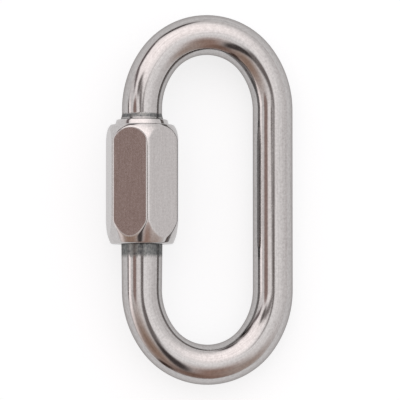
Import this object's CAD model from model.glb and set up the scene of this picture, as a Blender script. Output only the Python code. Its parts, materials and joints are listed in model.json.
"""Dresses the chain quick link: a polished bar bent to an oval and the satin sleeve nut that closes it.

Sizes are set in millimetres and angles in degrees, and both are turned to metres and radians where they are
used. Both pieces are drawn in the link's own plane, X across and Y along, and their node trees set them into
the resting place.
"""
import json
import logging
import math
from collections.abc import Mapping, Sequence
from dataclasses import dataclass, field
from enum import Enum
from typing import Any

import bpy
from mathutils import Euler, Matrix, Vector


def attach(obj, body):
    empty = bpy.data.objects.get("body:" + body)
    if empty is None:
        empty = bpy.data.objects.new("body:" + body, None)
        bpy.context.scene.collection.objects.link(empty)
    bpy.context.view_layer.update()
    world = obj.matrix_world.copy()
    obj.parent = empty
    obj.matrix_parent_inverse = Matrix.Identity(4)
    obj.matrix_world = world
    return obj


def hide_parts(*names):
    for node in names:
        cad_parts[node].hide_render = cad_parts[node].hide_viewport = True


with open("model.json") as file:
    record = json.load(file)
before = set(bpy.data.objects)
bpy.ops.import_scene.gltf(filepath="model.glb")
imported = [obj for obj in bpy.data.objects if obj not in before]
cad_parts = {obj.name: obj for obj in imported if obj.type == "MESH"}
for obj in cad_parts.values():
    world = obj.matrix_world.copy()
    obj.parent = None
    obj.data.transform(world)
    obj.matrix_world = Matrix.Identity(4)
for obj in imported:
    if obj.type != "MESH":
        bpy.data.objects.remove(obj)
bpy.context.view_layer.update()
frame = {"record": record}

LOG = logging.getLogger("quick_link")
MM = 0.001
# Flats of the nut, and half the turn of one flat in radians
FLATS = 6
HALF_FLAT_TURN = math.pi / FLATS
# Values that a noise texture mostly stays between
NOISE_SPREAD = (0.3, 0.7)


class Body(Enum):
    """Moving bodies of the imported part."""

    LINK = "link"
    NUT = "nut"


class Slot(Enum):
    """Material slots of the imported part."""

    BAR = "polished_bar"
    NUT = "turned_nut"


def linear(hex_colour: str) -> tuple[float, float, float, float]:
    """Turns an sRGB hex colour into linear values.

    Args:
        hex_colour: Colour such as "#C8C5C3".

    Returns:
        Red, green, blue and an alpha of one.
    """
    parts = [int(hex_colour[i : i + 2], 16) / 255 for i in (1, 3, 5)]
    red, green, blue = (p / 12.92 if p <= 0.04045 else ((p + 0.055) / 1.055) ** 2.4 for p in parts)
    return red, green, blue, 1.0


def even_steps(start: float, end: float, longest: float) -> list[float]:
    """Divides a run into even steps.

    Args:
        start: First value.
        end: Last value.
        longest: Longest step.

    Returns:
        Values from start to end, both included.
    """
    rounding = 1e-6
    count = max(1, math.ceil(abs(end - start) / longest - rounding))
    return [start + (end - start) * i / count for i in range(count + 1)]


def add_node(
    tree: bpy.types.NodeTree,
    kind: str,
    inputs: Sequence[Any] | Mapping[str | int, Any] = (),
    **settings: Any,
) -> bpy.types.Node:
    """Adds a node to a tree, with its settings, values and links.

    Args:
        tree: Tree that takes the node.
        kind: The node's type name.
        inputs: A value, an output socket or a node for each input, in order or by input name or number.
            A node stands for the first of its outputs that is in use.
        settings: Properties of the node itself.

    Returns:
        The new node.
    """
    node = tree.nodes.new(kind)
    for key, value in settings.items():
        setattr(node, key, value)
    pairs = inputs.items() if isinstance(inputs, Mapping) else enumerate(inputs)
    for key, value in pairs:
        if isinstance(value, bpy.types.Node):
            value = next(socket for socket in value.outputs if socket.enabled)
        if isinstance(value, bpy.types.NodeSocket):
            tree.links.new(value, node.inputs[key])
        else:
            node.inputs[key].default_value = value
    return node


@dataclass(frozen=True)
class LinkPlan:
    """Sizes that the bar and the nut share, and the resting place that follows from them.

    The link lies tipped about its long axis, on its plain leg and on one long edge of the nut.
    """

    bar_r: float = 4.0
    link_length: float = 74.0
    eye_width: float = 18.4
    shoulder_extra: float = 3.6
    stop_inset: float = 2.2
    nut_length: float = 24.8
    half_flats: float = 6.75
    edge_cut: float = 0.16
    nut_lean: float = 10.5

    @property
    def leg_x(self) -> float:
        """Distance of each leg's axis from the link's middle."""
        return self.eye_width / 2 + self.bar_r

    @property
    def shoulder_r(self) -> float:
        """Radius of the bar's centre line beside the legs."""
        return self.leg_x + self.shoulder_extra

    @property
    def crown_r(self) -> float:
        """Radius of the bar's centre line at the crown, which meets the shoulders on a 3-4-5 slope."""
        return self.shoulder_r - self.shoulder_extra * 5 / 4

    @property
    def crown_lift(self) -> float:
        """Distance from the shoulders' centres out to the crown's."""
        return self.shoulder_extra * 3 / 4

    @property
    def leg_half(self) -> float:
        """Half the length of the straight legs."""
        return self.link_length / 2 - self.bar_r - self.crown_r - self.crown_lift

    @property
    def stop_y(self) -> float:
        """Place along the gated leg of the face that stops the nut."""
        return self.leg_half - self.stop_inset

    @property
    def nut_end_y(self) -> float:
        """Place of the nut's open end when the link is closed."""
        return self.stop_y - self.nut_length

    @property
    def edge_r(self) -> float:
        """Radius of the nut over its rounded edges."""
        return self.half_flats / math.cos(HALF_FLAT_TURN) - self.edge_cut

    def reach(self, off_edge: float) -> float:
        """Returns how far the nut reaches from its axis, so many radians off the middle of an edge."""
        trimmed = HALF_FLAT_TURN - math.acos(self.half_flats / self.edge_r)
        return self.edge_r * math.cos(max(0.0, off_edge - trimmed))

    def tilt(self) -> float:
        """Returns how far the link is tipped at rest, in radians."""
        return math.asin((self.reach(math.radians(self.nut_lean)) - self.bar_r) / (2 * self.leg_x))

    def rest_turn(self) -> Euler:
        """Returns the turn of the link at rest."""
        return Euler((0.0, self.tilt(), 0.0))

    def rest_place(self) -> Vector:
        """Works out where the link lies.

        Returns:
            The middle of the link at rest, in metres.
        """
        lean = math.radians(self.nut_lean)
        x = (self.reach(HALF_FLAT_TURN - lean) - self.bar_r) / 2
        z = (self.reach(lean) + self.bar_r) / 2
        return Vector((x, 0.0, z)) * MM


@dataclass(frozen=True)
class ScrewThread:
    """Right-hand rolled thread on the gated leg's axis, the same on the bar and inside the nut.

    The nut only slides here, so its travel is a whole number of pitches and the threads mesh at both ends.
    The flank starts and ends at these shares of a pitch from the middle of the root.
    """

    travel: float
    turns: int = 9
    crest_r: float = 4.35
    root_r: float = 3.58
    flank: tuple[float, float] = (0.1, 0.42)
    play: float = 0.06
    rings_per_pitch: int = 12

    @property
    def pitch(self) -> float:
        """Distance from crest to crest, about 1.25 mm."""
        return self.travel / self.turns

    @property
    def pitch_r(self) -> float:
        """Radius half way up the flanks."""
        return (self.crest_r + self.root_r) / 2

    @property
    def ring_step(self) -> float:
        """Spacing of the rings that draw the thread."""
        return self.pitch / self.rings_per_pitch

    def radius(
        self, tree: bpy.types.NodeTree, y: Any, turn: Any, pitch: bpy.types.NodeSocket, play: float
    ) -> bpy.types.Node:
        """Adds the nodes that give the thread's radius.

        Args:
            tree: Tree that takes the nodes.
            y: Distance along the leg, in metres.
            turn: Angle round the leg, from the upper side towards +X, in radians.
            pitch: Pitch, in metres.
            play: Radial play to add, in millimetres.

        Returns:
            Node that gives the radius in metres.
        """
        half_pitch = 0.5
        turns = add_node(tree, "ShaderNodeMath", (turn, math.tau), operation="DIVIDE")
        pitches = add_node(tree, "ShaderNodeMath", (y, pitch), operation="DIVIDE")
        phase = add_node(tree, "ShaderNodeMath", (pitches, turns), operation="SUBTRACT")
        climb = add_node(tree, "ShaderNodeMath", (phase, half_pitch), operation="PINGPONG")
        low, high = (self.root_r + play) * MM, (self.crest_r + play) * MM
        limits = (climb, *self.flank, low, high)
        return add_node(tree, "ShaderNodeMapRange", limits, interpolation_type="SMOOTHSTEP")


@dataclass
class NodeShape:
    """A mesh that a node tree makes from a seed line with values on its points.

    The finish reads the point values that are named in kept, and the others are removed at the end.
    """

    name: str
    finish: bpy.types.Material
    kept: tuple[str, ...]
    tree: bpy.types.NodeTree = field(init=False)
    group_in: bpy.types.Node = field(init=False)
    values: dict[str, Any] = field(init=False, default_factory=dict)

    def __post_init__(self) -> None:
        """Starts the tree with its geometry in and out."""
        self.tree = bpy.data.node_groups.new(f"{self.name}_rule", "GeometryNodeTree")
        self.tree.interface.new_socket("Geometry", in_out="INPUT", socket_type="NodeSocketGeometry")
        self.tree.interface.new_socket("Geometry", in_out="OUTPUT", socket_type="NodeSocketGeometry")
        self.group_in = add_node(self.tree, "NodeGroupInput")

    def named_input(self, name: str, kind: str, value: Any) -> bpy.types.NodeSocket:
        """Adds a named input to the tree.

        Args:
            name: Name of the input.
            kind: Its socket type.
            value: Value that the modifier gives it.

        Returns:
            The socket inside the tree.
        """
        socket = self.tree.interface.new_socket(name, in_out="INPUT", socket_type=kind)
        self.values[socket.identifier] = value
        return self.group_in.outputs[name]

    def close_tree(self, geometry: bpy.types.Node, plan: LinkPlan, crease: float) -> None:
        """Sets the mesh into its resting place, marks its creases and ends the tree.

        Args:
            geometry: Node that gives the finished mesh.
            plan: Plan of the link.
            crease: Angle between faces past which an edge stays sharp, in degrees.
        """
        tree = self.tree
        place = self.named_input("Rest place", "NodeSocketVector", plan.rest_place())
        turn = self.named_input("Rest turn", "NodeSocketRotation", plan.rest_turn())
        finish = self.named_input("Finish", "NodeSocketMaterial", self.finish)
        moved = add_node(
            tree, "GeometryNodeTransform", {"Geometry": geometry, "Translation": place, "Rotation": turn}
        )
        smooth = add_node(tree, "GeometryNodeSetShadeSmooth", {"Geometry": moved, "Shade Smooth": True})
        angle = add_node(tree, "GeometryNodeInputMeshEdgeAngle")
        sharp = add_node(tree, "ShaderNodeMath", (angle, math.radians(crease)), operation="GREATER_THAN")
        creased = add_node(
            tree,
            "GeometryNodeSetShadeSmooth",
            {"Geometry": smooth, "Selection": sharp, "Shade Smooth": False},
            domain="EDGE",
        )
        real = add_node(tree, "GeometryNodeRealizeInstances", {"Geometry": creased})
        dressed = add_node(tree, "GeometryNodeSetMaterial", {"Geometry": real, "Material": finish})
        add_node(tree, "NodeGroupOutput", (dressed,))

    def seed(
        self, points: Sequence[Vector], closed: bool, point_values: Mapping[str, Sequence[Any]]
    ) -> bpy.types.Mesh:
        """Makes the line that the tree starts from.

        Args:
            points: Points of the line, in metres.
            closed: Whether the line joins up with its start.
            point_values: Values of each point by name, numbers or vectors.

        Returns:
            A mesh of points and edges.
        """
        count = len(points)
        edges = [(i, (i + 1) % count) for i in range(count if closed else count - 1)]
        mesh = bpy.data.meshes.new(f"{self.name}_seed")
        mesh.from_pydata(points, edges, [])
        for name, values in point_values.items():
            is_vector = isinstance(values[0], Vector)
            store = mesh.attributes.new(name, "FLOAT_VECTOR" if is_vector else "FLOAT", "POINT")
            numbers = [part for value in values for part in value] if is_vector else values
            store.data.foreach_set("vector" if is_vector else "value", numbers)
        return mesh

    def clean(self, mesh: bpy.types.Mesh) -> None:
        """Removes the point values that the finish doesn't read and turns the faces outwards.

        Args:
            mesh: The finished mesh.
        """
        point_values = [a for a in mesh.attributes if a.domain == "POINT" and not a.is_required]
        for name in [a.name for a in point_values if a.name not in self.kept]:
            mesh.attributes.remove(mesh.attributes[name])
        mesh.calc_loop_triangles()
        volume = 0.0
        for triangle in mesh.loop_triangles:
            a, b, c = (mesh.vertices[i].co for i in triangle.vertices)
            volume += a.dot(b.cross(c))
        if volume < 0:
            mesh.flip_normals()

    def make(
        self, points: Sequence[Vector], closed: bool, point_values: Mapping[str, Sequence[Any]]
    ) -> bpy.types.Object:
        """Runs the tree on a seed line and keeps the result as a plain mesh.

        Args:
            points: Points of the seed line, in metres.
            closed: Whether the line joins up with its start.
            point_values: Values of each point by name, numbers or vectors.

        Returns:
            The finished object, at the origin.
        """
        seed = self.seed(points, closed, point_values)
        piece = bpy.data.objects.new(self.name, seed)
        bpy.context.scene.collection.objects.link(piece)
        modifier = piece.modifiers.new("rule", "NODES")
        modifier.node_group = self.tree
        for identifier, value in self.values.items():
            modifier[identifier] = value
        depsgraph = bpy.context.evaluated_depsgraph_get()
        mesh = bpy.data.meshes.new_from_object(piece.evaluated_get(depsgraph), depsgraph=depsgraph)
        piece.modifiers.clear()
        piece.data = mesh
        mesh.name = self.name
        bpy.data.meshes.remove(seed)
        self.clean(mesh)
        return piece


@dataclass(frozen=True)
class PolishedStainless:
    """Buffed stainless round bar.

    Each pair of limits is the stretch of a pattern's values over which the look changes.
    """

    name: str = "stainless_steel_buffed"
    polished: str = "#DEDBDA"
    shaded: str = "#C0BCBB"
    wear_limits: tuple[float, float] = (0.3, 0.65)
    grazing: str = "#C8C5C4"
    roughness: tuple[float, float] = (0.07, 0.12)
    dull: tuple[str, str] = ("#5E6164", "#959694")
    dull_limits: tuple[float, float] = (0.1, 0.9)
    dull_streak: float = 1.5
    dull_roughness: float = 0.3
    stain_limits: tuple[float, float] = (0.38, 0.6)
    wave_mm: float = 5.0
    wave_height_mm: float = 0.02
    wave_strength: float = 0.5
    grain_mm: float = 0.5
    grain_height_mm: float = 0.01
    grain_strength: float = 0.2
    line_mm: float = 0.3
    line_length_mm: float = 14.0
    line_share: float = 0.5

    def build(self) -> bpy.types.Material:
        """Makes the material.

        Returns:
            Near-mirror steel with slow ripples from the buffing wheel and rings left dull beside the nut.
        """
        # Buffing leaves long soft ripples that bend the reflections, and faint lines along the bar.
        # The wheel can't reach beside the nut, so a mottled bluish ring stays matt there.
        material = bpy.data.materials.new(self.name)
        material.use_nodes = True
        tree = material.node_tree
        tree.nodes.clear()
        place = add_node(tree, "ShaderNodeAttribute", attribute_name="bar_place").outputs["Vector"]
        dull = add_node(tree, "ShaderNodeAttribute", attribute_name="dull").outputs["Fac"]
        coarse = {"Vector": place, "Scale": 1 / (self.wave_mm * MM), "Detail": 1.0}
        waves = add_node(tree, "ShaderNodeTexNoise", coarse)
        fine = {"Vector": place, "Scale": 1 / (self.grain_mm * MM), "Detail": 3.0}
        grain = add_node(tree, "ShaderNodeTexNoise", fine)
        across, along = 1 / (self.line_mm * MM), 1 / (self.line_length_mm * MM)
        stretch = add_node(tree, "ShaderNodeMapping", {"Vector": place, "Scale": (across, across, along)})
        lines = add_node(tree, "ShaderNodeTexNoise", {"Vector": stretch, "Scale": 1.0, "Detail": 2.0})
        shares = {0: self.line_share, 2: grain, 3: lines}
        speckle = add_node(tree, "ShaderNodeMix", shares, data_type="FLOAT")
        worn = add_node(tree, "ShaderNodeMapRange", (speckle, *self.wear_limits, 0.0, 1.0))
        tones = {0: worn, 6: linear(self.shaded), 7: linear(self.polished)}
        tone = add_node(tree, "ShaderNodeMix", tones, data_type="RGBA")
        streak = (lines, self.dull_streak, -self.dull_streak / 2)
        streaks = add_node(tree, "ShaderNodeMath", streak, operation="MULTIPLY_ADD")
        ragged = add_node(tree, "ShaderNodeMath", (dull, streaks), operation="ADD")
        matt = add_node(tree, "ShaderNodeMapRange", (ragged, *self.dull_limits, 0.0, 1.0))
        stain = add_node(tree, "ShaderNodeMapRange", (speckle, *self.stain_limits, 0.0, 1.0))
        dark, light = (linear(hex_colour) for hex_colour in self.dull)
        stained = add_node(tree, "ShaderNodeMix", {0: stain, 6: dark, 7: light}, data_type="RGBA")
        colour = add_node(tree, "ShaderNodeMix", {0: matt, 6: tone, 7: stained}, data_type="RGBA")
        buffed = add_node(tree, "ShaderNodeMapRange", (waves, *NOISE_SPREAD, *self.roughness))
        gloss = {0: matt, 2: buffed, 3: self.dull_roughness}
        rough = add_node(tree, "ShaderNodeMix", gloss, data_type="FLOAT")
        swell = {"Height": waves, "Strength": self.wave_strength, "Distance": self.wave_height_mm * MM}
        ripple = add_node(tree, "ShaderNodeBump", swell)
        bite = {"Height": speckle, "Strength": self.grain_strength, "Distance": self.grain_height_mm * MM}
        relief = add_node(tree, "ShaderNodeBump", {**bite, "Normal": ripple})
        looks = {
            "Base Color": colour,
            "Metallic": 1.0,
            "Roughness": rough,
            "Specular Tint": linear(self.grazing),
            "Normal": relief,
        }
        steel = add_node(tree, "ShaderNodeBsdfPrincipled", looks)
        add_node(tree, "ShaderNodeOutputMaterial", {"Surface": steel})
        return material


@dataclass(frozen=True)
class SatinStainless:
    """Drawn stainless hexagon bar with turned ends."""

    name: str = "stainless_steel_satin_drawn"
    light: str = "#E3E0DF"
    shaded: str = "#CDC9C8"
    roughness: tuple[float, float] = (0.11, 0.17)
    turned_roughness: float = 0.08
    grain_mm: float = 0.35
    line_mm: float = 0.25
    line_length_mm: float = 5.0
    line_share: float = 0.35
    turning_mm: float = 0.35
    turning_length_mm: float = 50.0
    relief_height_mm: float = 0.01
    relief_strength: float = 0.06

    def build(self) -> bpy.types.Material:
        """Makes the material.

        Returns:
            Satin steel with a fine grain on the flats and turning rings on the ends.
        """
        # Tumbling leaves the flats evenly satin, with the drawing lines only just seen under a fine grain.
        # Real turning rings are about 0.1 mm apart: they are drawn coarser so that they show.
        material = bpy.data.materials.new(self.name)
        material.use_nodes = True
        tree = material.node_tree
        tree.nodes.clear()
        place = add_node(tree, "ShaderNodeTexCoord").outputs["Object"]
        turned = add_node(tree, "ShaderNodeAttribute", attribute_name="ball_turned").outputs["Fac"]
        patterns = []
        for across, along, detail in (
            (self.line_mm, self.line_length_mm, 2.0),
            (self.grain_mm, self.grain_mm, 3.0),
            (self.turning_length_mm, self.turning_mm, 1.0),
        ):
            scale = (1 / (across * MM), 1 / (along * MM), 1 / (across * MM))
            stretch = add_node(tree, "ShaderNodeMapping", {"Vector": place, "Scale": scale})
            inputs = {"Vector": stretch, "Scale": 1.0, "Detail": detail}
            patterns.append(add_node(tree, "ShaderNodeTexNoise", inputs))
        lines, grain, rings = patterns
        flat = add_node(tree, "ShaderNodeMix", {0: self.line_share, 2: grain, 3: lines}, data_type="FLOAT")
        relief = add_node(tree, "ShaderNodeMix", {0: turned, 2: flat, 3: rings}, data_type="FLOAT")
        worn = add_node(tree, "ShaderNodeMapRange", (flat, *NOISE_SPREAD, 0.0, 1.0))
        tones = {0: worn, 6: linear(self.shaded), 7: linear(self.light)}
        tone = add_node(tree, "ShaderNodeMix", tones, data_type="RGBA")
        satin = add_node(tree, "ShaderNodeMapRange", (relief, *NOISE_SPREAD, *self.roughness))
        gloss = {0: turned, 2: satin, 3: self.turned_roughness}
        rough = add_node(tree, "ShaderNodeMix", gloss, data_type="FLOAT")
        bite = {"Height": relief, "Strength": self.relief_strength, "Distance": self.relief_height_mm * MM}
        bump = add_node(tree, "ShaderNodeBump", bite)
        looks = {"Base Color": tone, "Metallic": 1.0, "Roughness": rough, "Normal": bump}
        steel = add_node(tree, "ShaderNodeBsdfPrincipled", looks)
        add_node(tree, "ShaderNodeOutputMaterial", {"Surface": steel})
        return material


@dataclass(frozen=True)
class PaleFloor:
    """Matt white board under the link.

    The two metal shares are how much of the lift the steel shows at its first and at its second reflection.
    """

    name: str = "white_matt_board"
    colour: str = "#A3A5A8"
    lift: float = 0.755
    metal_shares: tuple[float, float] = (0.79, 0.3)

    def build(self) -> bpy.types.Material:
        """Makes the material.

        Returns:
            A white board that keeps the link's soft shadow and shows white in the metal as well.
        """
        # Matt card has no gloss of its own; a little glow brings it to white without more light on the link.
        material = bpy.data.materials.new(self.name)
        material.use_nodes = True
        tree = material.node_tree
        tree.nodes.clear()
        card = add_node(tree, "ShaderNodeBsdfDiffuse", {"Color": linear(self.colour)})
        path = add_node(tree, "ShaderNodeLightPath").outputs
        share = add_node(tree, "ShaderNodeMapRange", (path["Ray Depth"], 1.0, 2.0, *self.metal_shares))
        in_metal = add_node(tree, "ShaderNodeMath", (path["Is Glossy Ray"], share), operation="MULTIPLY")
        seen = add_node(tree, "ShaderNodeMath", (path["Is Camera Ray"], in_metal), operation="MAXIMUM")
        seen = add_node(tree, "ShaderNodeMath", (seen, path["Is Transmission Ray"]), operation="MAXIMUM")
        strength = add_node(tree, "ShaderNodeMath", (seen, self.lift), operation="MULTIPLY")
        glow = add_node(tree, "ShaderNodeEmission", {"Strength": strength})
        both = add_node(tree, "ShaderNodeAddShader", (card, glow))
        add_node(tree, "ShaderNodeOutputMaterial", {"Surface": both})
        return material


@dataclass(frozen=True)
class Station:
    """One ring of the bar: its middle and direction, radius, share of thread and dullness."""

    x: float
    y: float
    lead: tuple[float, float]
    radius: float
    thread: float = 0.0
    dull: float = 0.0


@dataclass
class LinkBar:
    """Round bar bent to an oval, with a threaded stub above the gap and a long thread below it.

    The dull rings are heights above the stop with the dullness that the bar has there.
    """

    plan: LinkPlan
    thread: ScrewThread
    stub_length: float = 2.75
    tip_r: float = 3.365
    thread_start: float = 0.15
    thread_fade: float = 0.6
    thread_dull: float = 0.6
    relief: float = 0.45
    relief_r: float = 3.62
    corner: float = 0.01
    collar_r: float = 4.34
    collar_break: float = 0.06
    collar_dull: float = 0.9
    flare_length: float = 1.3
    flare_power: float = 1.8
    swell: float = 0.1
    run_in: float = 0.25
    dull_rings: tuple[tuple[float, float], ...] = (
        (0.0, 1.0), (0.12, 1.0), (0.3, 0.15), (0.5, 1.0), (0.95, 1.0), (1.4, 0.0)
    )
    dull_end_y: float = -11.4
    dull_edge: float = 0.5
    flare_step: float = 0.1
    dull_step: float = 0.3
    bow_step: float = 0.5
    leg_step: float = 1.5
    sides: int = 96
    crease: float = 50.0

    def arc(self, centre: tuple[float, float], radius: float, start: float, end: float) -> list[Station]:
        """Makes the stations of a clockwise arc, without its first one.

        Args:
            centre: Middle of the arc.
            radius: Radius of the bar's centre line.
            start: First angle, in radians.
            end: Last angle, in radians.

        Returns:
            Stations along the arc.
        """
        stations = []
        for angle in even_steps(start, end, self.bow_step / radius)[1:]:
            c, s = math.cos(angle), math.sin(angle)
            x, y = centre[0] + radius * c, centre[1] + radius * s
            stations.append(Station(x, y, (s, -c), self.plan.bar_r))
        return stations

    def bow(self, side: int) -> list[Station]:
        """Makes the stations of one bow, clockwise.

        Args:
            side: 1 for the upper bow, -1 for the lower one.

        Returns:
            Stations from leg to leg.
        """
        plan = self.plan
        shoulder = math.atan2(3, 4)
        start = math.pi if side > 0 else 0.0
        end = start - math.pi
        y = side * plan.leg_half
        first, last = (side * plan.shoulder_extra, y), (-side * plan.shoulder_extra, y)
        crown = (0.0, y + side * plan.crown_lift)
        return [
            *self.arc(first, plan.shoulder_r, start, start - shoulder),
            *self.arc(crown, plan.crown_r, start - shoulder, end + shoulder),
            *self.arc(last, plan.shoulder_r, end + shoulder, end),
        ]

    def stub(self) -> list[Station]:
        """Makes the stations of the upper end.

        Returns:
            Stations from the stub's tip to the start of the bow.
        """
        x, up, bar_r, stop = -self.plan.leg_x, (0.0, 1.0), self.plan.bar_r, self.plan.stop_y
        tip, full = stop - self.stub_length, stop - self.relief
        stations = []
        for y in even_steps(tip, full, self.thread.ring_step):
            radius = min(self.thread.crest_r, self.tip_r + y - tip)
            stations.append(Station(x, y, up, radius, 1.0, self.thread_dull))
        for y in (full + self.thread_start, stop - self.corner):
            stations.append(Station(x, y, up, self.relief_r, 0.0, self.thread_dull))
        for radius in (self.relief_r + 2 * self.corner, bar_r, self.collar_r - self.collar_break):
            stations.append(Station(x, stop, up, radius, 0.0, self.collar_dull))
        for (low, dull_low), (high, dull_high) in zip(self.dull_rings, self.dull_rings[1:]):
            for height in even_steps(low, high, self.flare_step)[1:]:
                flare = max(0.0, 1 - height / self.flare_length) ** self.flare_power
                radius = bar_r + (self.collar_r - bar_r) * flare
                dull = dull_low + (dull_high - dull_low) * (height - low) / (high - low)
                stations.append(Station(x, stop + height, up, radius, 0.0, dull))
        stations.append(Station(x, self.plan.leg_half, up, bar_r))
        return stations

    def tail(self) -> list[Station]:
        """Makes the stations of the lower end.

        Returns:
            Stations from the lower bow to the tip of the long thread.
        """
        x, up, start = -self.plan.leg_x, (0.0, 1.0), -self.plan.leg_half
        crest_r, pitch_r = self.thread.crest_r, self.thread.pitch_r
        tip = self.plan.stop_y - self.thread.travel
        swell_y = self.plan.nut_end_y + self.run_in
        plain = even_steps(start + self.bow_step, self.dull_end_y - self.dull_edge, self.leg_step)
        ring = even_steps(self.dull_end_y + self.dull_edge, swell_y, self.dull_step)
        stations = []
        for y in (*plain, *ring):
            radius = self.plan.bar_r + self.swell * (y - start) / (swell_y - start)
            stations.append(Station(x, y, up, radius, 0.0, 1.0 if y in ring else 0.0))
        for y in even_steps(swell_y + self.thread_start, tip, self.thread.ring_step):
            fade = min(1.0, (y - swell_y) / self.thread_fade)
            radius = min(pitch_r + fade * (crest_r - pitch_r), self.tip_r + tip - y)
            stations.append(Station(x, y, up, radius, fade, self.thread_dull))
        return stations

    def stations(self) -> list[Station]:
        """Makes all the stations of the bar.

        Returns:
            Stations from the stub's tip round to the tip of the long thread.
        """
        leg = even_steps(self.plan.leg_half, -self.plan.leg_half, self.leg_step)[1:]
        plain_leg = [Station(self.plan.leg_x, y, (0.0, -1.0), self.plan.bar_r) for y in leg]
        return [*self.stub(), *self.bow(1), *plain_leg, *self.bow(-1), *self.tail()]

    def sweep(self, shape: NodeShape) -> bpy.types.Node:
        """Adds the nodes that sweep a ring along the seed line and keep each point's centre and angle.

        Args:
            shape: Shape that takes the nodes.

        Returns:
            Node that gives the swept mesh.
        """
        tree = shape.tree
        sides = shape.named_input("Sides", "NodeSocketInt", self.sides)
        path = add_node(tree, "GeometryNodeMeshToCurve", (shape.group_in.outputs["Geometry"],))
        position = add_node(tree, "GeometryNodeInputPosition")
        path = add_node(
            tree,
            "GeometryNodeStoreNamedAttribute",
            {"Geometry": path, "Name": "centre", "Value": position},
            data_type="FLOAT_VECTOR",
        )
        ring = {"Resolution": sides, "Radius": self.plan.bar_r * MM}
        section = add_node(tree, "GeometryNodeCurvePrimitiveCircle", ring)
        index = add_node(tree, "GeometryNodeInputIndex")
        share = add_node(tree, "ShaderNodeMath", (index, sides), operation="DIVIDE")
        angle = add_node(tree, "ShaderNodeMath", (share, math.tau), operation="MULTIPLY")
        section = add_node(
            tree,
            "GeometryNodeStoreNamedAttribute",
            {"Geometry": section, "Name": "turn", "Value": angle},
            data_type="FLOAT",
        )
        inputs = {"Curve": path, "Profile Curve": section, "Fill Caps": True}
        return add_node(tree, "GeometryNodeCurveToMesh", inputs)

    def rule(self, finish: bpy.types.Material) -> NodeShape:
        """Builds the tree that sweeps the bar and cuts its threads.

        Args:
            finish: Material of the bar.

        Returns:
            The shape with its tree.
        """
        shape = NodeShape("quick_link_bar", finish, ("dull", "bar_place"))
        tree = shape.tree
        pitch = shape.named_input("Thread pitch", "NodeSocketFloat", self.thread.pitch * MM)
        swept = self.sweep(shape)
        turn, radius, cut, along = (
            add_node(tree, "GeometryNodeInputNamedAttribute", (name,), data_type="FLOAT")
            for name in ("turn", "radius_here", "thread", "along")
        )
        centre, lead = (
            add_node(tree, "GeometryNodeInputNamedAttribute", (name,), data_type="FLOAT_VECTOR")
            for name in ("centre", "lead")
        )
        cosine = add_node(tree, "ShaderNodeMath", (turn,), operation="COSINE")
        sine = add_node(tree, "ShaderNodeMath", (turn,), operation="SINE")
        side = add_node(tree, "ShaderNodeVectorMath", (lead, (0.0, 0.0, 1.0)), operation="CROSS_PRODUCT")
        out_side = add_node(tree, "ShaderNodeVectorMath", {0: side, "Scale": cosine}, operation="SCALE")
        out_up = add_node(tree, "ShaderNodeCombineXYZ", {"Z": sine})
        outward = add_node(tree, "ShaderNodeVectorMath", (out_side, out_up), operation="ADD")
        out_x = add_node(tree, "ShaderNodeSeparateXYZ", (outward,)).outputs["X"]
        round_leg = add_node(tree, "ShaderNodeMath", (out_x, sine), operation="ARCTAN2")
        y = add_node(tree, "ShaderNodeSeparateXYZ", (centre,)).outputs["Y"]
        ridge = self.thread.radius(tree, y, round_leg, pitch, 0.0)
        threaded = add_node(tree, "ShaderNodeMix", {0: cut, 2: radius, 3: ridge}, data_type="FLOAT")
        final_r = add_node(tree, "ShaderNodeMath", (radius, threaded), operation="MINIMUM")
        offset = add_node(tree, "ShaderNodeVectorMath", {0: outward, "Scale": final_r}, operation="SCALE")
        spot = add_node(tree, "ShaderNodeVectorMath", (centre, offset), operation="ADD")
        shaped = add_node(tree, "GeometryNodeSetPosition", {"Geometry": swept, "Position": spot})
        straight_x = add_node(tree, "ShaderNodeMath", (final_r, cosine), operation="MULTIPLY")
        straight_y = add_node(tree, "ShaderNodeMath", (final_r, sine), operation="MULTIPLY")
        straight = add_node(tree, "ShaderNodeCombineXYZ", (straight_x, straight_y, along))
        marked = add_node(
            tree,
            "GeometryNodeStoreNamedAttribute",
            {"Geometry": shaped, "Name": "bar_place", "Value": straight},
            data_type="FLOAT_VECTOR",
        )
        shape.close_tree(marked, self.plan, self.crease)
        return shape

    def build(self, finish: bpy.types.Material) -> bpy.types.Object:
        """Makes the bar and puts it in place of the plain solid.

        Args:
            finish: Material of the bar.

        Returns:
            The bar.
        """
        stations = self.stations()
        points = [Vector((s.x, s.y, 0.0)) * MM for s in stations]
        along = [0.0]
        for before, after in zip(points, points[1:]):
            along.append(along[-1] + (after - before).length)
        point_values = {
            "lead": [Vector((*s.lead, 0.0)) for s in stations],
            "radius_here": [s.radius * MM for s in stations],
            "thread": [s.thread for s in stations],
            "dull": [s.dull for s in stations],
            "along": along,
        }
        piece = self.rule(finish).make(points, False, point_values)
        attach(piece, Body.LINK.value)
        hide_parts("link_bar")
        return piece


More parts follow.
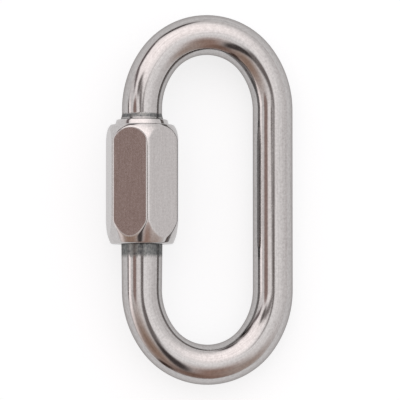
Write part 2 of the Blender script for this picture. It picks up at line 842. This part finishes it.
@dataclass
class SleeveNut:
    """Long hexagon nut with turned ends, a washer face at the top, a threaded bore and a counterbore.

    The washer's rim is drawn from its outer top corner, and its foot from where it meets the shoulder.
    """

    plan: LinkPlan
    thread: ScrewThread
    washer_r: float = 5.35
    washer_h: float = 1.0
    washer_lean: float = 0.22
    washer_flat_r: float = 4.6
    washer_rim: tuple[tuple[float, float], ...] = ((-0.12, 0.0), (-0.04, -0.04), (0.0, -0.12))
    washer_foot: tuple[tuple[float, float], ...] = ((0.0, 0.1), (0.02, 0.03), (0.06, 0.0), (0.4, 0.0))
    upper_draw: float = 1.3
    lower_draw: float = 1.42
    upper_round: float = 3.0
    lower_round: float = 4.5
    upper_arc_r: float = 7.785
    lower_arc_r: float = 24.0
    upper_rim_r: float = 0.4
    lower_rim_r: float = 0.6
    mouth_r: float = 4.165
    mouth_land: float = 0.05
    open_flat_r: float = 4.95
    counterbore_r: float = 4.45
    counterbore_mouth_r: float = 4.6
    counterbore_chamfer: float = 0.2
    counterbore_step: float = 4.0
    threaded_depth: float = 12.8
    runout_step: float = 0.1
    runout_slope: float = 2.0
    soft_edge: float = 0.16
    turned_edge: float = 0.1
    hexagon_clear: float = 1.0
    flat_step: float = 1.7
    arc_step: float = 0.12
    rim_steps: int = 8
    sides_per_flat: int = 48
    flat_share: float = 0.76
    crease: float = 40.0

    def turned_end(
        self, face_y: float, side: int, depth: float, draw: float, arc_r: float, rim_r: float
    ) -> list[tuple[float, float]]:
        """Makes the outline of one turned end, from its flat face to the full hexagon.

        Args:
            face_y: Place of the end face.
            side: 1 for the upper end, -1 for the lower one.
            depth: Depth of the turned form along the edges.
            draw: How far the turned form draws in from the edges at the face.
            arc_r: Radius of the turned form's arc.
            rim_r: Rounding between the face and the arc.

        Returns:
            Radius and place of each point, outwards.
        """
        edge_r = self.plan.edge_r
        chord = math.hypot(draw, depth)
        lift = math.sqrt(arc_r**2 - chord**2 / 4) / chord
        hub_r, hub_depth = edge_r - draw / 2 - lift * depth, depth / 2 + lift * draw
        rim_hub_r = hub_r + math.sqrt((arc_r - rim_r) ** 2 - (hub_depth - rim_r) ** 2)
        rim_turn = math.atan2(rim_hub_r - hub_r, hub_depth - rim_r)
        edge_turn = math.asin((edge_r - hub_r) / arc_r)
        points = []
        for a in even_steps(0.0, rim_turn, rim_turn / self.rim_steps):
            points.append((rim_hub_r + rim_r * math.sin(a), face_y - side * rim_r * (1 - math.cos(a))))
        for a in even_steps(rim_turn, edge_turn, self.arc_step / arc_r)[1:]:
            points.append((hub_r + arc_r * math.sin(a), face_y - side * (hub_depth - arc_r * math.cos(a))))
        return points

    def outside(self) -> list[tuple[float, float]]:
        """Makes the outline from the mouth of the bore over the washer face and both ends to the open face.

        Returns:
            Radius and place of each point. Between the ends they lie clear of the hexagon, which trims them.
        """
        top, bottom = self.plan.stop_y, self.plan.nut_end_y
        shoulder = top - self.washer_h
        washer_top_r = self.washer_r - self.washer_lean
        upper = self.turned_end(
            shoulder, 1, self.upper_round, self.upper_draw, self.upper_arc_r, self.upper_rim_r
        )
        lower = self.turned_end(
            bottom, -1, self.lower_round, self.lower_draw, self.lower_arc_r, self.lower_rim_r
        )
        flats = even_steps(upper[-1][1] - self.arc_step, lower[-1][1] + self.arc_step, self.flat_step)
        return [
            (self.mouth_r, top),
            (self.washer_flat_r, top),
            *((washer_top_r + out, top + up) for out, up in self.washer_rim),
            ((self.washer_r + washer_top_r) / 2, (top + shoulder) / 2),
            *((self.washer_r + out, shoulder + up) for out, up in self.washer_foot),
            *upper,
            *((self.plan.edge_r + self.hexagon_clear, y) for y in flats),
            *reversed(lower),
            (self.open_flat_r, bottom),
        ]

    def outline(self) -> tuple[list[tuple[float, float]], list[float]]:
        """Makes the closed outline of the nut's wall.

        Returns:
            Radius and place of each point, and its share of inner thread.
        """
        top, bottom = self.plan.stop_y, self.plan.nut_end_y
        minor_r = self.thread.root_r + self.thread.play
        tap_end = top - self.threaded_depth
        chamfer_y = bottom + self.counterbore_chamfer
        cone_y = tap_end - (self.counterbore_r - self.thread.pitch_r)
        counterbore = even_steps(chamfer_y, cone_y, self.counterbore_step)
        wall = [*self.outside(), (self.counterbore_mouth_r, bottom)]
        wall += [(self.counterbore_r, y) for y in counterbore]
        share = [0.0] * len(wall)
        tapped = self.threaded_depth - self.mouth_land
        for height in even_steps(0.0, tapped, self.thread.ring_step)[:-1]:
            runout = self.counterbore_r - self.runout_step - height * self.runout_slope
            lead_in = self.mouth_r - (self.threaded_depth - height)
            wall.append((max(lead_in, runout, minor_r), tap_end + height))
            share.append(1.0)
        return wall, share

    def ring(self, shape: NodeShape, flat_turn: float) -> bpy.types.Node:
        """Adds the nodes that make the ring on which the wall is turned and keep each point's two angles.

        They are its turn round the nut and its turn off the middle of its flat.

        Args:
            shape: Shape that takes the nodes.
            flat_turn: Half the turn of a flat without its rounded edges, in radians.

        Returns:
            Node that gives the ring.
        """
        tree = shape.tree
        nudge = 0.001
        lean_now = math.radians(self.plan.nut_lean) - self.plan.tilt()
        lean = shape.named_input("Lean", "NodeSocketFloat", lean_now)
        per_flat = shape.named_input("Sides per flat", "NodeSocketInt", self.sides_per_flat)
        sides = add_node(tree, "ShaderNodeMath", (per_flat, FLATS), operation="MULTIPLY")
        circle = {"Resolution": sides, "Radius": self.plan.edge_r * MM}
        ring = add_node(tree, "GeometryNodeCurvePrimitiveCircle", circle)
        # The nudge keeps the first point of each flat on that flat
        index = add_node(tree, "GeometryNodeInputIndex")
        nudged = add_node(tree, "ShaderNodeMath", (index, nudge), operation="ADD")
        flats = add_node(tree, "ShaderNodeMath", (nudged, per_flat), operation="DIVIDE")
        whole = add_node(tree, "ShaderNodeMath", (flats,), operation="FLOOR")
        rest = add_node(tree, "ShaderNodeMath", (flats,), operation="FRACT")
        across = add_node(tree, "ShaderNodeMath", (rest, 2.0, -1.0), operation="MULTIPLY_ADD")
        side = add_node(tree, "ShaderNodeMath", (across,), operation="SIGN")
        reach = add_node(tree, "ShaderNodeMath", (across,), operation="ABSOLUTE")
        edge_turn = HALF_FLAT_TURN - flat_turn
        on_flat = add_node(tree, "ShaderNodeMapRange", (reach, 0.0, self.flat_share, 0.0, flat_turn))
        on_edge = add_node(tree, "ShaderNodeMapRange", (reach, self.flat_share, 1.0, 0.0, edge_turn))
        off = add_node(tree, "ShaderNodeMath", (on_flat, on_edge), operation="ADD")
        off_flat = add_node(tree, "ShaderNodeMath", (side, off), operation="MULTIPLY")
        halfway = add_node(tree, "ShaderNodeMath", (whole, 0.5), operation="ADD")
        middle = add_node(tree, "ShaderNodeMath", (halfway, 2 * HALF_FLAT_TURN), operation="MULTIPLY")
        upright = add_node(tree, "ShaderNodeMath", (middle, off_flat), operation="ADD")
        turn = add_node(tree, "ShaderNodeMath", (upright, lean), operation="ADD")
        for name, value in (("turn", turn), ("off_flat", off_flat)):
            inputs = {"Geometry": ring, "Name": name, "Value": value}
            ring = add_node(tree, "GeometryNodeStoreNamedAttribute", inputs, data_type="FLOAT")
        return ring

    def hexagon(self, shape: NodeShape, fillet: float, flat_turn: float) -> bpy.types.Node:
        """Adds the nodes that give the radius of the rounded hexagon at each point's angle.

        Args:
            shape: Shape that takes the nodes.
            fillet: Rounding of the long edges, in millimetres.
            flat_turn: Half the turn of a flat without its rounded edges, in radians.

        Returns:
            Node that gives the radius in metres.
        """
        tree = shape.tree
        hub = (self.plan.half_flats - fillet) / math.cos(HALF_FLAT_TURN)
        half_flats = shape.named_input("Half across flats", "NodeSocketFloat", self.plan.half_flats * MM)
        edge_round = shape.named_input("Edge rounding", "NodeSocketFloat", fillet * MM)
        edge_hub = shape.named_input("Edge rounding centre", "NodeSocketFloat", hub * MM)
        off_flat = add_node(tree, "GeometryNodeInputNamedAttribute", ("off_flat",), data_type="FLOAT")
        off = add_node(tree, "ShaderNodeMath", (off_flat,), operation="ABSOLUTE")
        flat_cosine = add_node(tree, "ShaderNodeMath", (off,), operation="COSINE")
        flat_r = add_node(tree, "ShaderNodeMath", (half_flats, flat_cosine), operation="DIVIDE")
        from_edge = add_node(tree, "ShaderNodeMath", (HALF_FLAT_TURN, off), operation="SUBTRACT")
        sine = add_node(tree, "ShaderNodeMath", (from_edge,), operation="SINE")
        cosine = add_node(tree, "ShaderNodeMath", (from_edge,), operation="COSINE")
        sway = add_node(tree, "ShaderNodeMath", (edge_hub, sine), operation="MULTIPLY")
        sway_square = add_node(tree, "ShaderNodeMath", (sway, sway), operation="MULTIPLY")
        round_square = add_node(tree, "ShaderNodeMath", (edge_round, edge_round), operation="MULTIPLY")
        left_over = add_node(tree, "ShaderNodeMath", (round_square, sway_square), operation="SUBTRACT")
        span_square = add_node(tree, "ShaderNodeMath", (left_over, 0.0), operation="MAXIMUM")
        span = add_node(tree, "ShaderNodeMath", (span_square,), operation="SQRT")
        round_r = add_node(tree, "ShaderNodeMath", (edge_hub, cosine, span), operation="MULTIPLY_ADD")
        on_round = add_node(tree, "ShaderNodeMath", (off, flat_turn), operation="GREATER_THAN")
        return add_node(tree, "ShaderNodeMix", {0: on_round, 2: flat_r, 3: round_r}, data_type="FLOAT")

    def rule(self, finish: bpy.types.Material) -> NodeShape:
        """Builds the tree that turns the outline, trims it to a rounded hexagon and cuts the inner thread.

        Args:
            finish: Material of the nut.

        Returns:
            The shape with its tree.
        """
        shape = NodeShape("quick_link_sleeve_nut", finish, ("ball_turned",))
        tree = shape.tree
        half_flats = self.plan.half_flats
        fillet = self.plan.edge_cut / (1 / math.cos(HALF_FLAT_TURN) - 1)
        flat_turn = math.atan((half_flats - fillet) * math.tan(HALF_FLAT_TURN) / half_flats)
        soft = shape.named_input("Soft edge", "NodeSocketFloat", self.soft_edge * MM)
        pitch = shape.named_input("Thread pitch", "NodeSocketFloat", self.thread.pitch * MM)
        wall = add_node(tree, "GeometryNodeMeshToCurve", (shape.group_in.outputs["Geometry"],))
        ring = self.ring(shape, flat_turn)
        body = add_node(tree, "GeometryNodeCurveToMesh", {"Curve": ring, "Profile Curve": wall})
        turn, radius, y, cut = (
            add_node(tree, "GeometryNodeInputNamedAttribute", (name,), data_type="FLOAT")
            for name in ("turn", "wall_r", "wall_y", "thread")
        )
        hexagon = self.hexagon(shape, fillet, flat_turn)
        trimmed = add_node(tree, "ShaderNodeMath", (radius, hexagon, soft), operation="SMOOTH_MIN")
        groove = self.thread.radius(tree, y, turn, pitch, self.thread.play)
        bored = add_node(tree, "ShaderNodeMath", (radius, groove), operation="MAXIMUM")
        final_r = add_node(tree, "ShaderNodeMix", {0: cut, 2: trimmed, 3: bored}, data_type="FLOAT")
        sine = add_node(tree, "ShaderNodeMath", (turn,), operation="SINE")
        cosine = add_node(tree, "ShaderNodeMath", (turn,), operation="COSINE")
        axis_x = -self.plan.leg_x * MM
        x = add_node(tree, "ShaderNodeMath", (final_r, sine, axis_x), operation="MULTIPLY_ADD")
        z = add_node(tree, "ShaderNodeMath", (final_r, cosine), operation="MULTIPLY")
        spot = add_node(tree, "ShaderNodeCombineXYZ", (x, y, z))
        turned = add_node(tree, "GeometryNodeSetPosition", {"Geometry": body, "Position": spot})
        below_flat = add_node(tree, "ShaderNodeMath", (hexagon, radius), operation="SUBTRACT")
        ball = add_node(tree, "ShaderNodeMapRange", (below_flat, 0.0, self.turned_edge * MM, 0.0, 1.0))
        marks = {"Geometry": turned, "Name": "ball_turned", "Value": ball}
        marked = add_node(tree, "GeometryNodeStoreNamedAttribute", marks, data_type="FLOAT")
        shape.close_tree(marked, self.plan, self.crease)
        return shape

    def build(self, finish: bpy.types.Material) -> bpy.types.Object:
        """Makes the nut and puts it in place of the plain solid.

        Args:
            finish: Material of the nut.

        Returns:
            The nut.
        """
        wall, share = self.outline()
        points = [Vector((r, y, 0.0)) * MM for r, y in wall]
        point_values = {
            "wall_r": [r * MM for r, _ in wall],
            "wall_y": [y * MM for _, y in wall],
            "thread": share,
        }
        piece = self.rule(finish).make(points, True, point_values)
        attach(piece, Body.NUT.value)
        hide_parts("sleeve_nut")
        return piece


@dataclass(frozen=True)
class Flag:
    """A soft-edged patch of the studio's surround, placed in degrees from straight up."""

    place: tuple[float, float]
    half_size: tuple[float, float]
    turn: float
    colour: str
    edge: float = 0.4
    level: float = 1.0


@dataclass
class Studio:
    """White board, a pale tent with a few lighter and darker flags for the metal to show, and the camera."""

    tent_top: str = "#FCFAFA"
    tent_skirt: str = "#DAD7D7"
    skirt_from: tuple[float, float] = (18.0, 88.0)
    flags: tuple[Flag, ...] = (
        Flag((-12, 40), (46, 30), 0, "#FFF8F7", 0.6, 1.38),
        Flag((-70, -20), (8, 32), 6, "#FFF7F6", 0.5, 1.4),
        Flag((-38, -40), (32, 30), 0, "#9D8577", 0.8),
        Flag((4, -72), (44, 20), 0, "#836B60", 0.7),
        Flag((19, -48), (15, 28), 0, "#9A7C70", 0.7),
        Flag((46, -52), (24, 22), 0, "#AC9B92", 0.9),
        Flag((-39, -71), (13, 9), 0, "#3E2E26", 0.5),
        Flag((-41, 2), (11, 9), 0, "#96807A", 0.35),
        Flag((-84, 3), (3.5, 12), 0, "#5A4E4B", 0.5),
        Flag((-28, 16), (9, 5.5), -29, "#6F6866", 0.5),
        Flag((-12, 8), (14, 3.5), -29, "#7F7876", 0.6),
        Flag((-5, -30), (9, 27), -4, "#474140", 0.45),
        Flag((1, -4), (6, 13), -40, "#78716F", 0.4),
        Flag((-24, 75), (25, 6.5), 17, "#4C4445", 0.5),
        Flag((-55, 52), (22, 7), 55, "#625859", 0.5),
        Flag((-58, 30), (15, 5.5), -62, "#75696A", 0.5),
    )
    second_bounce: float = 0.42
    floor_half: float = 4000.0
    aim: tuple[float, float, float] = (0.14, -0.1, 5.8)
    camera_mm: float = 600.0
    camera_pitch: float = 2.5
    field_mm: float = 80.0

    def lay_floor(self) -> bpy.types.Object:
        """Lays the board under the link.

        Returns:
            The board.
        """
        half = self.floor_half * MM
        mesh = bpy.data.meshes.new("floor")
        corners = [(-half, -half, 0), (half, -half, 0), (half, half, 0), (-half, half, 0)]
        mesh.from_pydata(corners, [], [(0, 1, 2, 3)])
        mesh.materials.append(PaleFloor().build())
        floor = bpy.data.objects.new("floor", mesh)
        bpy.context.scene.collection.objects.link(floor)
        return floor

    def hang_tent(self) -> bpy.types.World:
        """Makes the surround: a pale tent, with each flag laid over it by its direction.

        Returns:
            The scene's world.
        """
        world = bpy.data.worlds.new("studio_tent")
        world.use_nodes = True
        bpy.context.scene.world = world
        tree = world.node_tree
        tree.nodes.clear()
        ray = add_node(tree, "ShaderNodeTexCoord").outputs["Generated"]
        x, y, z = add_node(tree, "ShaderNodeSeparateXYZ", (ray,)).outputs
        polar = add_node(tree, "ShaderNodeMath", (z,), operation="ARCCOSINE")
        from_top = add_node(tree, "ShaderNodeMath", (polar,), operation="DEGREES")
        level = add_node(tree, "ShaderNodeCombineXYZ", (x, y, 0.0))
        heading = add_node(tree, "ShaderNodeVectorMath", (level,), operation="NORMALIZE")
        chart = add_node(tree, "ShaderNodeVectorMath", {0: heading, "Scale": from_top}, operation="SCALE")
        skirt = (from_top, *self.skirt_from, 0.0, 1.0)
        drop = add_node(tree, "ShaderNodeMapRange", skirt, interpolation_type="SMOOTHSTEP")
        tones = {0: drop, 6: linear(self.tent_top), 7: linear(self.tent_skirt)}
        shade = add_node(tree, "ShaderNodeMix", tones, data_type="RGBA")
        for flag in self.flags:
            inputs = {
                "Vector": chart,
                "Location": (*flag.place, 0.0),
                "Rotation": (0.0, 0.0, math.radians(flag.turn)),
                "Scale": (*flag.half_size, 1.0),
            }
            spot = add_node(tree, "ShaderNodeMapping", inputs, vector_type="TEXTURE")
            reach = add_node(tree, "ShaderNodeVectorMath", (spot,), operation="LENGTH")
            edge = (reach, 1 + flag.edge, 1 - flag.edge, 0.0, 1.0)
            cover = add_node(tree, "ShaderNodeMapRange", edge, interpolation_type="SMOOTHSTEP")
            colour = tuple(part * flag.level for part in linear(flag.colour))
            shade = add_node(tree, "ShaderNodeMix", {0: cover, 6: shade, 7: colour}, data_type="RGBA")
        # Real steel keeps less light at each bounce than its colour here does, so steel in steel is dimmed.
        # A ray that leaves the scene counts one step more than its reflections.
        depth = add_node(tree, "ShaderNodeLightPath").outputs["Ray Depth"]
        strength = add_node(tree, "ShaderNodeMapRange", (depth, 2.0, 3.0, 1.0, self.second_bounce))
        back = add_node(tree, "ShaderNodeBackground", {"Color": shade, "Strength": strength})
        add_node(tree, "ShaderNodeOutputWorld", {"Surface": back})
        return world

    def set_camera(self) -> bpy.types.Object:
        """Sets the camera over the link, a little towards its lower bow.

        Returns:
            The scene's camera.
        """
        data = bpy.data.cameras.new("camera")
        data.lens = data.sensor_width * self.camera_mm / self.field_mm
        camera = bpy.data.objects.new("camera", data)
        tip = math.radians(self.camera_pitch)
        away = Vector((0.0, -math.sin(tip), math.cos(tip))) * self.camera_mm
        camera.location = (Vector(self.aim) + away) * MM
        camera.rotation_euler = (tip, 0.0, 0.0)
        bpy.context.scene.collection.objects.link(camera)
        bpy.context.scene.camera = camera
        bpy.context.scene.view_settings.view_transform = "Standard"
        return camera


def main() -> None:
    """Builds the quick link and the studio round it."""
    logging.basicConfig(level=logging.INFO, format="%(message)s")
    nut_travel = frame["record"]["behaviour"]["joints"][0]
    plan, thread = LinkPlan(), ScrewThread(nut_travel["range_m"][1] / MM)
    studio = Studio()
    studio.set_camera()
    studio.lay_floor()
    studio.hang_tent()
    pieces = [
        LinkBar(plan, thread).build(PolishedStainless().build()),
        SleeveNut(plan, thread).build(SatinStainless().build()),
    ]
    for piece in pieces:
        LOG.info("%s: %d points, %d faces", piece.name, len(piece.data.vertices), len(piece.data.polygons))


if __name__ == "__main__":
    main()
